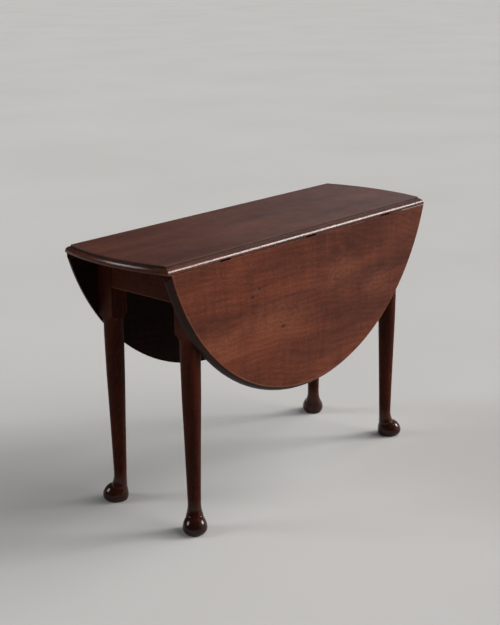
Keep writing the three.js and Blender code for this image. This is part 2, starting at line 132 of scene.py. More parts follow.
def moulded_slab(outline, heights):
    """A slab whose rim is drawn down from its top face through the outline at each height."""
    mesh = bmesh.new()
    place = mesh.verts.layers.int.new("place")
    face = mesh.faces.new([mesh.verts.new(point) for point in outline(heights[0])])
    for number, vertex in enumerate(face.verts):
        vertex[place] = number
    rim = list(face.edges)
    for height in heights[1:]:
        grown = bmesh.ops.extrude_edge_only(mesh, edges=rim)["geom"]
        fresh = {item[place]: item for item in grown if isinstance(item, bmesh.types.BMVert)}
        for number, point in enumerate(outline(height)):
            fresh[number].co = point
        rim = [mesh.edges.get((fresh[number], fresh[(number + 1) % len(fresh)]))
               for number in range(len(fresh))]
    bmesh.ops.edgeloop_fill(mesh, edges=rim)
    settle_order(mesh)
    return mesh


def new_piece(name, mesh):
    """A piece made from a finished bmesh, its faces turned outwards."""
    bmesh.ops.recalc_face_normals(mesh, faces=mesh.faces)
    data = bpy.data.meshes.new(name)
    mesh.to_mesh(data)
    mesh.free()
    piece = bpy.data.objects.new(name, data)
    bpy.context.scene.collection.objects.link(piece)
    return piece


def add_block(mesh, low, high):
    """Adds a square-edged block between two corners."""
    size = Vector(high) - Vector(low)
    middle = Vector(low) + size / 2
    place = Matrix.Translation(middle) @ Matrix.Diagonal((*size, 1))
    bmesh.ops.create_cube(mesh, size=1, matrix=place)


def cut_away(piece, cutter_mesh):
    """Cuts a cutter's shape out of a piece, as with a chisel."""
    cutter = new_piece("cutter", cutter_mesh)
    modifier = piece.modifiers.new("cut", "BOOLEAN")
    modifier.object = cutter
    graph = bpy.context.evaluated_depsgraph_get()
    rough = piece.data
    piece.data = bpy.data.meshes.new_from_object(piece.evaluated_get(graph))
    piece.modifiers.clear()
    piece.data.name = piece.name
    bpy.data.meshes.remove(rough)
    bpy.data.objects.remove(cutter)


def ease_arrises(piece, width):
    """Rounds the arrises of a piece as sandpaper and years of use do."""
    for polygon in piece.data.polygons:
        polygon.use_smooth = True
    piece.data.set_sharp_from_angle(angle=SHARP_ANGLE)
    bevel = piece.modifiers.new("arris", "BEVEL")
    bevel.width = width
    bevel.segments = 3
    bevel.limit_method = "ANGLE"
    bevel.angle_limit = SHARP_ANGLE
    bevel.harden_normals = True


PLATE_CLEARANCE = 0.0003
HOUSING_DEPTH = 0.0030
GROOVE_RADIUS = 0.0038
OVERCUT = 0.001
board_plates = [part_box(name) for name in sorted(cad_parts) if name.endswith("board_plate")]


def board_housings():
    """Housings for the short plates, open through the ovolo, where the long plates swing up."""
    cutter = bmesh.new()
    for low, high in board_plates:
        side = 1 if low.y + high.y > 0 else -1
        inner = side * (min(abs(low.y), abs(high.y)) - PLATE_CLEARANCE)
        outer = side * (HINGE_Y + RULE_RADIUS + OVERCUT)
        add_block(cutter,
                  (low.x - PLATE_CLEARANCE, min(inner, outer), UNDERSIDE - 2 * OVERCUT),
                  (high.x + PLATE_CLEARANCE, max(inner, outer), UNDERSIDE + HOUSING_DEPTH))
    return cutter


def barrel_grooves():
    """Half-round grooves over the hinge barrels, in the middle of the rule joint."""
    cutter = bmesh.new()
    lengthwise = Matrix.Rotation(math.pi / 2, 4, "Y")
    for low, high in board_plates:
        side = 1 if low.y + high.y > 0 else -1
        middle = Vector(((low.x + high.x) / 2, side * HINGE_Y, UNDERSIDE))
        bmesh.ops.create_cone(
            cutter, cap_ends=True, segments=24, radius1=GROOVE_RADIUS, radius2=GROOVE_RADIUS,
            depth=high.x - low.x + 2 * PLATE_CLEARANCE,
            matrix=Matrix.Translation(middle) @ lengthwise)
    return cutter


class Finish:
    """A finish being mixed: each call adds one node and gives back what comes out of it."""

    def __init__(self, name):
        self.material = bpy.data.materials.new(name)
        self.material.use_nodes = True
        self.tree = self.material.node_tree
        self.shader = self.tree.nodes["Principled BSDF"]
        self.place = self.add("TexCoord", {}).outputs["Object"]

    def add(self, kind, sockets, **settings):
        node = self.tree.nodes.new("ShaderNode" + kind)
        for setting, value in settings.items():
            setattr(node, setting, value)
        for socket, value in sockets.items():
            self.put(node.inputs[socket], value)
        return node

    def put(self, socket, value):
        if isinstance(value, bpy.types.NodeSocket):
            self.tree.links.new(value, socket)
        else:
            socket.default_value = value

    def mapped(self, scale, turn=(0, 0, 0), shift=(0, 0, 0)):
        sockets = {"Vector": self.place, "Scale": scale, "Rotation": turn, "Location": shift}
        return self.add("Mapping", sockets).outputs[0]

    def noise(self, vector, detail=3, roughness=0.5, distortion=0.0):
        sockets = {"Vector": vector, "Scale": 1.0, "Detail": detail,
                   "Roughness": roughness, "Distortion": distortion}
        return self.add("TexNoise", sockets).outputs["Fac"]

    def math(self, operation, first, second=0.0, third=0.0):
        return self.add("Math", {0: first, 1: second, 2: third}, operation=operation).outputs[0]

    def length(self, vector):
        return self.add("VectorMath", {0: vector}, operation="LENGTH").outputs["Value"]

    def span(self, value, low, high, to_low=0.0, to_high=1.0):
        """A soft step: to_low where value is at low, to_high where it is at high."""
        sockets = {"Value": value, "From Min": low, "From Max": high,
                   "To Min": to_low, "To Max": to_high}
        return self.add("MapRange", sockets, interpolation_type="SMOOTHSTEP").outputs[0]

    def ramp(self, value, stops):
        node = self.add("ValToRGB", {"Fac": value})
        elements = node.color_ramp.elements
        while len(elements) < len(stops):
            elements.new(0.5)
        for element, (position, colour) in zip(elements, stops):
            element.position = position
            element.color = (*colour, 1)
        return node.outputs["Color"]

    def blend(self, share, first, second):
        as_colour = [(*value, 1) if isinstance(value, tuple) else value for value in (first, second)]
        node = self.add("Mix", {0: share, 6: as_colour[0], 7: as_colour[1]},
                        data_type="RGBA")
        return node.outputs[2]

    def bump(self, height, distance, under=None):
        sockets = {"Height": height, "Distance": distance, "Strength": 1.0}
        if under is not None:
            sockets["Normal"] = under
        return self.add("Bump", sockets).outputs[0]


GRAIN_TURNS = {"x": (0, 0, 0), "y": (0, 0, math.pi / 2), "z": (0, math.pi / 2, 0)}


def mix_mahogany(finish, tones, along, figure, seed, ring_width=0.014):
    """Old mahogany: slow drifts of colour, faint growth rings, short fibres and open pores.

    It returns the wood's colour, the pores and a slow drift that the polish can follow."""
    turn = GRAIN_TURNS[along]
    shift = (seed * 3.1, seed * 1.7, seed * 2.3)

    def grain(lengthwise, across):
        return finish.mapped((lengthwise, across, across) if along == "x" else
                             (across, lengthwise, across) if along == "y" else
                             (across, across, lengthwise), shift=shift)

    drift = finish.noise(grain(2.2, 11), detail=4, roughness=0.55, distortion=0.6)
    wander = finish.noise(grain(1.6, 5), detail=2)
    log = finish.mapped((figure, 1, 1) if along == "x" else (1, 1, figure), turn=turn,
                        shift=(0.05 * seed, 0.021 * seed, 0.07))
    ring = finish.math("MULTIPLY_ADD", wander, 0.16, finish.length(log))
    rings = finish.math("SINE", finish.math("MULTIPLY", ring, 2 * math.pi / ring_width))
    streaks = finish.noise(grain(16, 330), detail=4, roughness=0.6, distortion=0.12)
    fibres = finish.noise(grain(60, 1100), detail=3, roughness=0.6)
    flecks = finish.noise(grain(120, 300), detail=3, roughness=0.65)
    mottle = finish.noise(grain(40, 9), detail=3, distortion=1.0)
    pores = finish.span(finish.noise(grain(85, 2100), detail=2, roughness=0.7), 0.60, 0.70)

    dark, middle, light = tones
    broad = finish.math("MULTIPLY_ADD", drift, 0.70, 0.15)
    tone = finish.math("MULTIPLY_ADD", rings, 0.028, broad)
    tone = finish.math("MULTIPLY_ADD", finish.math("SUBTRACT", streaks, 0.5), 0.30, tone)
    tone = finish.math("MULTIPLY_ADD", finish.math("SUBTRACT", flecks, 0.5), 0.42, tone)
    tone = finish.math("MULTIPLY_ADD", finish.math("SUBTRACT", fibres, 0.5), 0.35, tone)
    tone = finish.math("MULTIPLY_ADD", finish.math("SUBTRACT", mottle, 0.5), 0.20, tone)
    colour = finish.ramp(tone, [(0.33, dark), (0.50, middle), (0.70, light)])
    pore_colour = tuple(0.35 * value for value in dark)
    colour = finish.blend(finish.math("MULTIPLY", pores, 0.6), colour, pore_colour)
    return colour, pores, drift


POLISHED_ROUGHNESS = 0.2


def finish_mahogany(finish, colour, pores, drift, gloss, waviness=0.0012, coat=0.10, shine=0.20,
                    extra_height=None, polished=None):
    """Waxed polish: its gloss drifts, it sinks into the pores and follows the plane's waves."""
    rub = finish.noise(finish.mapped((19, 19, 19)), detail=5, roughness=0.65)
    dull = finish.math("MULTIPLY_ADD", rub, 0.20, gloss - 0.10)
    dull = finish.math("MULTIPLY_ADD", pores, 0.12, dull)
    if polished is not None:
        dull = finish.math("MULTIPLY_ADD", polished, POLISHED_ROUGHNESS - gloss, dull)
    waves = finish.noise(finish.mapped((3.5, 7, 7)), detail=2)
    normal = finish.bump(waves, waviness)
    if extra_height is not None:
        normal = finish.bump(extra_height, 0.001, under=normal)
    height = finish.math("MULTIPLY_ADD", pores, -0.6, finish.math("MULTIPLY", drift, 0.3))
    normal = finish.bump(height, 0.00022, under=normal)
    shader = finish.shader
    finish.put(shader.inputs["Base Color"], colour)
    finish.put(shader.inputs["Roughness"], dull)
    finish.put(shader.inputs["Normal"], normal)
    shader.inputs["IOR"].default_value = 1.5
    shader.inputs["Specular IOR Level"].default_value = shine
    finish.put(shader.inputs["Coat Weight"], coat)
    shader.inputs["Coat Roughness"].default_value = 0.13
    return finish.material


RAGGEDNESS = 0.35


def spots(finish, places, radius):
    """A mask of small marks: 1 inside each, 0 outside, with ragged edges."""
    mask = None
    rag = finish.noise(finish.mapped((160, 160, 160)), detail=3)
    for place, stretch in places:
        scale = (1 / stretch, 1, 1)
        shift = (-place[0] / stretch, -place[1], -place[2])
        distance = finish.length(finish.mapped(scale, shift=shift))
        edge = finish.math("MULTIPLY_ADD", rag, RAGGEDNESS * radius * 2, distance)
        spot = finish.span(edge, radius * (1 + RAGGEDNESS), radius * (0.5 + RAGGEDNESS), 0.0, 1.0)
        mask = spot if mask is None else finish.math("MAXIMUM", mask, spot)
    return mask


# Unpolished mahogany, made nearly black with painted shade for the faces that look inward.
SHADED_RAW_TONES = ((0.005, 0.0020, 0.0012), (0.011, 0.0045, 0.0026), (0.024, 0.0105, 0.0060))


def shaded_raw_mahogany(name, seed):
    """The unpolished side of the wood, made nearly black with painted shade."""
    finish = Finish(name)
    colour, pores, drift = mix_mahogany(finish, SHADED_RAW_TONES, "x", 0.3, seed)
    return finish_mahogany(finish, colour, pores, drift, 0.78, coat=0.0, shine=0.05)


def lay_shaded_raw_side(piece, inward, material):
    """Gives the faces that look inward the unpolished finish, nearly black with painted shade."""
    piece.data.materials.append(material)
    for polygon in piece.data.polygons:
        if polygon.normal.dot(Vector(inward)) > 0.9:
            polygon.material_index = 1


FILLET_WAX_AND_SHADE = (0.008, 0.004, 0.003)
MARK_STAIN = (0.012, 0.006, 0.004)
BOARD_ARRIS_WEAR_AND_HIGHLIGHT = (0.17, 0.075, 0.048)
BOARD_MARKS = ((-0.289, 0.018, 2.2), (-0.073, -0.031, 1.6), (0.164, -0.004, 2.5), (0.31, 0.09, 1.4))
MARK_RADIUS = 0.0065


def board_finish():
    finish = Finish("board_mahogany")
    colour, pores, drift = mix_mahogany(finish, BOARD_TONES, "x", 0.22, 2)
    # Painted shade and old wax darken the corner of the fillet, and wax and dirt lie round a few old
    # marks.
    position = finish.add("SeparateXYZ", {0: finish.place})
    height = position.outputs["Z"]
    fillet_wax_and_shade = finish.math("MULTIPLY", finish.span(height, TOP - 0.0062, TOP - 0.0042),
                         finish.span(height, TOP - 0.0008, TOP - 0.0032))
    colour = finish.blend(finish.math("MULTIPLY", fillet_wax_and_shade, 0.85), colour, FILLET_WAX_AND_SHADE)
    marks = spots(finish, [((x, y, TOP), stretch) for x, y, stretch in BOARD_MARKS], MARK_RADIUS)
    colour = finish.blend(finish.math("MULTIPLY", marks, 0.55), colour, MARK_STAIN)
    # The long arris is painted paler, partly worn and partly a painted highlight.
    edge = finish.math("SUBTRACT", finish.math("ABSOLUTE", position.outputs["Y"]), HINGE_Y)
    rubbed_and_lit = finish.math("MULTIPLY", finish.span(edge, -0.0035, -0.0004),
                         finish.span(height, TOP - 0.0025, TOP - 0.0008))
    colour = finish.blend(finish.math("MULTIPLY", rubbed_and_lit, 0.5), colour, BOARD_ARRIS_WEAR_AND_HIGHLIGHT)
    moulding = finish.span(height, TOP - 0.0030, TOP - 0.0045)
    return finish_mahogany(finish, colour, pores, drift, 0.40, shine=0.24, polished=moulding)


EDGE_HEIGHTS = [THICKNESS] + [
    RULE_RADIUS * math.cos(math.pi / 2 * step / OVOLO_STEPS) for step in range(OVOLO_STEPS)] + [0.0]
board = new_piece("board", moulded_slab(board_outline, EDGE_HEIGHTS))
cut_away(board, board_housings())
cut_away(board, barrel_grooves())
ease_arrises(board, ARRIS)
board.data.materials.append(board_finish())
lay_shaded_raw_side(board, (0, 0, -1), shaded_raw_mahogany("board_underside", 3))
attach(board, "fixed_frame")
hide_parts("top_board")

# ---- Leaves ----
# Two half-oval leaves of the same mahogany, each hung on three hinges and dropped upright.
# A cove along the hinged edge rolls round the board's ovolo, ending in a thin lip. The oval
# edge is moulded like the board's ends; old wax and painted shade darken the moulding, below an
# arris painted paler, partly worn and partly a painted highlight.
COVE_RADIUS = RULE_RADIUS + 0.0008
LIP_Y = HINGE_Y + 0.0004
LIP_HEIGHT = 0.0168
ARC_STEPS = 128
LEAF_HOUSING_DEPTH = 0.0023
HOUSING_OVERLAP = 0.0015
LEAF_TONES = ((0.048, 0.0098, 0.0037), (0.094, 0.0205, 0.0080), (0.156, 0.0400, 0.0168))
EDGE_WAX_AND_SHADE = (0.010, 0.0045, 0.003)
SWIRL_TONE = (0.27, 0.105, 0.052)
LEAF_ARRIS_WEAR_AND_HIGHLIGHT = (0.20, 0.080, 0.042)
DENT_TONE = (0.016, 0.007, 0.005)
SWIRLS = ((0.29, 0.519, 0.055), (-0.14, 0.518, 0.085), (-0.34, 0.50, 0.06), (0.12, 0.575, 0.07))
SWIRL_STRETCH = 1.9
SWIRL_RING_WIDTH = 0.013
DENTS = ((-0.211, 0.603, 1.2), (-0.236, 0.587, 1.5), (-0.12, 0.483, 2.4))
DENT_RADIUS = 0.0056


def hinged_edge_y(height):
    if height >= LIP_HEIGHT:
        return LIP_Y
    return HINGE_Y + math.sqrt(COVE_RADIUS ** 2 - height ** 2)


def leaf_outline(height):
    edge = hinged_edge_y(height)
    half_width = OVAL_HALF_WIDTH - EDGE_INSET + ovolo_reach(height, EDGE_INSET)
    half_length = half_width * OVAL_HALF_LENGTH / OVAL_HALF_WIDTH
    start = math.asin(edge / half_width)
    corner = half_length * math.cos(start)
    points = []
    for step in range(SIDE_STEPS):
        x = corner * (2 * step / SIDE_STEPS - 1)
        points.append(Vector((x, edge, UNDERSIDE + height)))
    for step in range(ARC_STEPS):
        angle = start + (math.pi - 2 * start) * step / ARC_STEPS
        x, y = half_length * math.cos(angle), half_width * math.sin(angle)
        points.append(Vector((x, y, UNDERSIDE + height)))
    return points


def hang(mesh, side):
    """Turns a leaf that is drawn level at the back down about its pins, and round to its own side."""
    pin_line = Matrix.Translation((0, HINGE_Y, UNDERSIDE))
    drop = pin_line @ Matrix.Rotation(-math.pi / 2, 4, "X") @ pin_line.inverted()
    turn = Matrix.Identity(4) if side == "back" else Matrix.Rotation(math.pi, 4, "Z")
    bmesh.ops.transform(mesh, matrix=turn @ drop, verts=mesh.verts)


def leaf_housings(side):
    """Housings for the long plates, in the face of the leaf that hangs towards the frame."""
    facing = 1 if side == "back" else -1
    near = facing * (HINGE_Y - 2 * OVERCUT)
    far = facing * (HINGE_Y + LEAF_HOUSING_DEPTH)
    cutter = bmesh.new()
    for number in (1, 2, 3):
        low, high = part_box(f"{side}_hinge_{number}_leaf_plate")
        add_block(cutter,
                  (low.x - PLATE_CLEARANCE, min(near, far), low.z - PLATE_CLEARANCE),
                  (high.x + PLATE_CLEARANCE, max(near, far), UNDERSIDE - RULE_RADIUS + HOUSING_OVERLAP))
    return cutter


def leaf_finish(side, seed):
    finish = Finish(f"{side}_leaf_mahogany")
    colour, pores, drift = mix_mahogany(finish, LEAF_TONES, "x", 0.30, seed)
    # Pale swirls in the figure, where the grain turns round old branches.
    facing = 1 if side == "back" else -1
    leaf_y = facing * (HINGE_Y + THICKNESS)
    wander = finish.noise(finish.mapped((11, 11, 16)), detail=5, roughness=0.6, distortion=0.8)
    for x, z, width in SWIRLS:
        place = finish.mapped((1 / SWIRL_STRETCH, 1, 1), shift=(-x / SWIRL_STRETCH, -leaf_y, -z))
        distance = finish.math("MULTIPLY_ADD", wander, 0.11, finish.length(place))
        rings = finish.math("SINE", finish.math("MULTIPLY", distance, 2 * math.pi / SWIRL_RING_WIDTH))
        near = finish.span(distance, width + 0.055, 0.05)
        glow = finish.math("MULTIPLY_ADD", rings, 0.09, 0.15)
        share = finish.math("MULTIPLY", near, glow)
        colour = finish.blend(share, colour, SWIRL_TONE)
    # Distance from the middle of the oval, 1 at its outermost edge.
    oval = finish.mapped((1 / OVAL_HALF_LENGTH, 0, -1 / OVAL_HALF_WIDTH),
                         shift=(0, 0, (UNDERSIDE + HINGE_Y) / OVAL_HALF_WIDTH))
    reach = finish.length(oval)
    arris = 1 - EDGE_INSET / OVAL_HALF_WIDTH
    # The arris is painted paler, partly worn and partly a painted highlight.
    rubbed_and_lit = finish.math("MULTIPLY", finish.span(reach, arris - 0.006, arris - 0.0008),
                         finish.span(reach, arris + 0.0012, arris + 0.0002))
    patchy = finish.span(finish.noise(finish.mapped((14, 14, 14)), detail=3), 0.3, 0.7, 0.25, 0.75)
    colour = finish.blend(finish.math("MULTIPLY", rubbed_and_lit, patchy), colour, LEAF_ARRIS_WEAR_AND_HIGHLIGHT)
    # The moulding below the arris is darkened with painted shade and old wax.
    moulding = finish.span(reach, arris + 0.0006, arris + 0.004)
    colour = finish.blend(finish.math("MULTIPLY", moulding, 0.88), colour, EDGE_WAX_AND_SHADE)
    dents = spots(finish, [((x, leaf_y, z), stretch) for x, z, stretch in DENTS], DENT_RADIUS)
    colour = finish.blend(finish.math("MULTIPLY", dents, 0.75), colour, DENT_TONE)
    height = finish.math("MULTIPLY", dents, -0.35)
    return finish_mahogany(finish, colour, pores, drift, 0.42, coat=0.05, shine=0.14,
                           extra_height=height)


def make_leaf(side, seed):
    heights = [THICKNESS, LIP_HEIGHT] + EDGE_HEIGHTS[1:]
    mesh = moulded_slab(leaf_outline, heights)
    hang(mesh, side)
    leaf = new_piece(f"{side}_dropped_leaf", mesh)
    cut_away(leaf, leaf_housings(side))
    ease_arrises(leaf, ARRIS)
    leaf.data.materials.append(leaf_finish(side, seed))
    inward = (0, -1, 0) if side == "back" else (0, 1, 0)
    lay_shaded_raw_side(leaf, inward, shaded_raw_mahogany(f"{side}_leaf_inside", seed + 1))
    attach(leaf, f"{side}_leaf_group")
    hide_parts(f"{side}_leaf")


make_leaf("front", 5)
make_leaf("back", 8)

# ---- Table hinges ----
# Three wrought iron table hinges a side: a short plate on the board and a long one on the leaf,
# let in flush and screwed, with five knuckles on a riveted pin. Only the screws of the long plates
# can be seen, beside the frame.
SCREW_HEAD_RADIUS = 0.0036
SCREW_HEAD_DEPTH = 0.0018
SCREW_SLOT_WIDTH = 0.0009
SCREW_SLOT_DEPTH = 0.0005
SCREW_SLOT_TAPER = 0.00002
SCREW_PROUD = 0.0003
IRON_ARRIS = 0.0003
SCREW_PLACES = ((0.25, 0.32, 0.5), (0.75, 0.36, 1.9), (0.5, 0.78, 2.7))


def iron_finish(name, seed):
    finish = Finish(name)
    patches = finish.noise(finish.mapped((90, 90, 90), shift=(seed, seed, seed)), detail=6,
                           roughness=0.7)
    pits = finish.noise(finish.mapped((700, 700, 700)), detail=3, roughness=0.7)
    colour = finish.ramp(patches, [(0.34, (0.020, 0.018, 0.017)), (0.55, (0.060, 0.052, 0.047)),
                                   (0.72, (0.115, 0.058, 0.030))])
    rust = finish.span(patches, 0.5, 0.7)
    finish.put(finish.shader.inputs["Base Color"], colour)
    finish.put(finish.shader.inputs["Metallic"], finish.math("MULTIPLY_ADD", rust, -0.7, 0.92))
    finish.put(finish.shader.inputs["Roughness"], finish.math("MULTIPLY_ADD", pits, 0.4, 0.36))
    finish.put(finish.shader.inputs["Normal"], finish.bump(pits, 0.0003))
    return finish.material


iron = iron_finish("forged_iron", 1)


def trimmed_copy(node, name, arris):
    """A copy of a CAD piece whose loose triangles are merged into faces with eased arrises."""
    mesh = bmesh.new()
    mesh.from_mesh(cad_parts[node].data)
    bmesh.ops.remove_doubles(mesh, verts=mesh.verts, dist=1e-5)
    bmesh.ops.dissolve_limit(mesh, angle_limit=math.radians(1), verts=mesh.verts, edges=mesh.edges)
    piece = new_piece(name, mesh)
    ease_arrises(piece, arris)
    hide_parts(node)
    return piece


def head_faces(mesh, place, outward):
    """The faces on top of the screw head at a place."""
    return [face for face in mesh.faces if face.normal.dot(outward) > 0.99
            and (face.calc_center_median() - place).length < SCREW_HEAD_RADIUS]


def wood_screw_head(mesh, place, outward, slot_angle):
    """A round head standing a hair proud of its plate, with a filed slot."""
    turn = Vector((0, 0, 1)).rotation_difference(outward).to_matrix().to_4x4()
    turn = turn @ Matrix.Rotation(slot_angle, 4, "Z")
    bmesh.ops.create_cone(
        mesh, cap_ends=True, segments=20, radius1=SCREW_HEAD_RADIUS / 2, radius2=SCREW_HEAD_RADIUS,
        depth=SCREW_HEAD_DEPTH, matrix=Matrix.Translation(place) @ turn)
    across = turn.to_3x3() @ Vector((1, 0, 0))
    for offset in (-SCREW_SLOT_WIDTH / 2, SCREW_SLOT_WIDTH / 2):
        flat = head_faces(mesh, place, outward)
        cut = set(flat) | {edge for face in flat for edge in face.edges}
        cut |= {vertex for face in flat for vertex in face.verts}
        bmesh.ops.bisect_plane(mesh, geom=list(cut), plane_co=place + across * offset, plane_no=across)
        mesh.normal_update()
    slot = min(head_faces(mesh, place, outward),
               key=lambda face: abs((face.calc_center_median() - place).dot(across)))
    bmesh.ops.inset_region(mesh, faces=[slot], thickness=SCREW_SLOT_TAPER, depth=-SCREW_SLOT_DEPTH)


def leaf_plate_screws(side, number):
    low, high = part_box(f"{side}_hinge_{number}_leaf_plate")
    facing = 1 if side == "back" else -1
    outward = Vector((0, -facing, 0))
    mesh = bmesh.new()
    for across, along, slot_angle in SCREW_PLACES:
        place = Vector((low.x + (high.x - low.x) * across,
                        facing * (HINGE_Y + SCREW_HEAD_DEPTH / 2 - SCREW_PROUD),
                        high.z + (low.z - high.z) * along))
        wood_screw_head(mesh, place, outward, slot_angle + number)
    screws = new_piece(f"{side}_hinge_{number}_leaf_screws", mesh)
    screws.data.materials.append(iron)
    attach(screws, f"{side}_leaf_group")


for side in ("front", "back"):
    for number in (1, 2, 3):
        hinge = f"{side}_hinge_{number}"
        board_plate = trimmed_copy(f"{hinge}_board_plate", f"{hinge}_short_plate", IRON_ARRIS)
        leaf_plate = trimmed_copy(f"{hinge}_leaf_plate", f"{hinge}_long_plate", IRON_ARRIS)
        rivet = trimmed_copy(f"{hinge}_pin", f"{hinge}_rivet", IRON_ARRIS)
        for piece, body in ((board_plate, "fixed_frame"), (leaf_plate, f"{side}_leaf_group"),
                            (rivet, "fixed_frame")):
            piece.data.materials.append(iron)
            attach(piece, body)
        leaf_plate_screws(side, number)

# ---- Legs ----
# Four legs, each turned from one length of mahogany. The top is left as a square block, the shoulder
# is cut in on the lathe, and the shaft tapers to a slim ankle. The pad foot is turned on a second
# centre, set out on the diagonal, so that the heel stays flush while the toe stands out.
# SHAFT and SHOULDER give height and radius in turn.
LEG_SIDES = 96
LEG_SHARP_ANGLE = math.radians(38)
REBATE_SKIN = 0.0135
REBATE_DEPTH = 0.0226
REBATE_BOTTOM = 0.600
REBATE_OVERCUT = 0.002
END_CHAMFER = 0.0006
BLOCK_HALF = 0.0265
BLOCK_CORNER_RADIUS = 0.0369
SHOULDER_BOTTOM = 0.508
FOOT_TOP = 0.078
FLARE_FROM = 0.042
FLARE = 0.0095
PAD_SHIFT = 0.013 * math.sqrt(2)
PAD_RADIUS = 0.031
PAD_WIDEST = 0.0140
PAD_RISE = 0.0300
PAD_FALL = 0.0210
PAD_POWER = 2.0
FILLET_BLEND = 0.020
SHAFT = ((0.000, 0.0150), (0.004, 0.0164), (0.012, 0.0168), (0.052, 0.0167), (0.080, 0.0172),
         (0.160, 0.0190), (0.250, 0.0212), (0.360, 0.0242), (0.460, 0.0256), (0.508, 0.0256))
SHOULDER = ((0.5105, 0.0262), (0.5120, 0.0270), (0.5140, 0.0283), (0.5165, 0.0298), (0.5190, 0.0315),
            (0.5210, 0.0335), (0.5223, 0.0352), (0.5232, 0.0369))
FOOT_STEP = 0.0015
SHAFT_STEP = 0.020
BLOCK_HEIGHTS = (0.56, 0.60, 0.65)
FLOOR_WAX = (0.010, 0.004, 0.0028)
WORN_TONE = (0.15, 0.055, 0.03)
LEG_TONES = ((0.017, 0.0030, 0.0011), (0.036, 0.0062, 0.0022), (0.068, 0.0130, 0.0048))


def shaft_radius(height):
    """The shaft's radius at a height, in straight runs between its turned sizes."""
    for (low, low_radius), (high, high_radius) in zip(SHAFT, SHAFT[1:]):
        if height <= high:
            share = (height - low) / (high - low)
            return low_radius + (high_radius - low_radius) * share
    return SHAFT[-1][1]


def pad_reach(height, angle):
    """How far the pad stands from the leg's centre in a direction, measured from the toe."""
    limit = PAD_RISE if height > PAD_WIDEST else PAD_FALL
    share = abs(height - PAD_WIDEST) / limit
    if share >= 1:
        return 0.0
    radius = PAD_RADIUS * (1 - share ** PAD_POWER) ** (1 / PAD_POWER)
    inside = radius ** 2 - (PAD_SHIFT * math.sin(angle)) ** 2
    if inside < 0:
        return 0.0
    return max(PAD_SHIFT * math.cos(angle) + math.sqrt(inside), 0.0)


def foot_radius(height, angle):
    """The ankle, flaring towards the toe and run into the pad with a soft hollow."""
    toeward = (0.5 + 0.5 * math.cos(angle)) ** 0.8
    share = (FOOT_TOP - max(height, FLARE_FROM)) / (FOOT_TOP - FLARE_FROM)
    ankle = shaft_radius(height) + FLARE * toeward * share ** 2.2
    pad = pad_reach(height, angle)
    overlap = max(FILLET_BLEND - abs(ankle - pad), 0.0) / FILLET_BLEND
    return max(ankle, pad) + overlap ** 2 * FILLET_BLEND / 4


def leg_profile(top):
    heights = [0.0, 0.0006, 0.0014] + [0.0025 + FOOT_STEP * step for step in range(51)]
    heights += [0.080 + SHAFT_STEP * step for step in range(22)]
    profile = [(0.0, 0.0)] + [(shaft_radius(height), height) for height in heights]
    profile += [(radius, height) for height, radius in SHOULDER]
    profile += [(BLOCK_CORNER_RADIUS, height) for height in (*BLOCK_HEIGHTS, top - END_CHAMFER)]
    profile += [(BLOCK_CORNER_RADIUS - END_CHAMFER, top), (0.0, top)]
    return profile


def turned_leg(name, body, node, gate):
    low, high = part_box(node)
    out_x = 1 if low.x + high.x > 0 else -1
    out_y = 1 if low.y + high.y > 0 else -1
    inner_x = low.x if out_x > 0 else high.x
    inner_y = low.y if out_y > 0 else high.y
    centre = Vector((inner_x + out_x * BLOCK_HALF, inner_y + out_y * BLOCK_HALF, 0))
    mesh = bmesh.new()
    line = [mesh.verts.new((radius, 0, height)) for radius, height in leg_profile(high.z)]
    edges = [mesh.edges.new(pair) for pair in zip(line, line[1:])]
    bmesh.ops.spin(mesh, geom=line + edges, axis=(0, 0, 1), cent=(0, 0, 0), angle=2 * math.pi,
                   steps=LEG_SIDES, use_merge=True)
    bmesh.ops.remove_doubles(mesh, verts=mesh.verts, dist=1e-6)
    toe = math.atan2(out_y, out_x)
    for vertex in mesh.verts:
        radius = math.hypot(vertex.co.x, vertex.co.y)
        if vertex.co.z < FOOT_TOP and radius > 1e-4:
            angle = math.atan2(vertex.co.y, vertex.co.x)
            grown = foot_radius(vertex.co.z, angle - toe) / radius
            vertex.co.x *= grown
            vertex.co.y *= grown
        if vertex.co.z > SHOULDER_BOTTOM:
            vertex.co.x = max(-BLOCK_HALF, min(BLOCK_HALF, vertex.co.x))
            vertex.co.y = max(-BLOCK_HALF, min(BLOCK_HALF, vertex.co.y))
    bmesh.ops.translate(mesh, verts=mesh.verts, vec=centre)
    settle_order(mesh)
    leg = new_piece(name, mesh)
    if gate:
        # The gate leg's top is rebated to close over the corner of the frame.
        reach_x = centre.x + out_x * (BLOCK_HALF - REBATE_SKIN)
        reach_y = centre.y + out_y * (REBATE_DEPTH - BLOCK_HALF)
        back_x = inner_x - out_x * REBATE_OVERCUT
        back_y = inner_y - out_y * REBATE_OVERCUT
        cutter = bmesh.new()
        add_block(cutter,
                  (min(reach_x, back_x), min(reach_y, back_y), REBATE_BOTTOM),
                  (max(reach_x, back_x), max(reach_y, back_y), high.z + REBATE_OVERCUT))
        cut_away(leg, cutter)
    for polygon in leg.data.polygons:
        polygon.use_smooth = True
    leg.data.set_sharp_from_angle(angle=LEG_SHARP_ANGLE)
    leg.modifiers.new("flat_faces", "WEIGHTED_NORMAL").keep_sharp = True
    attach(leg, body)
    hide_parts(node)
    return leg


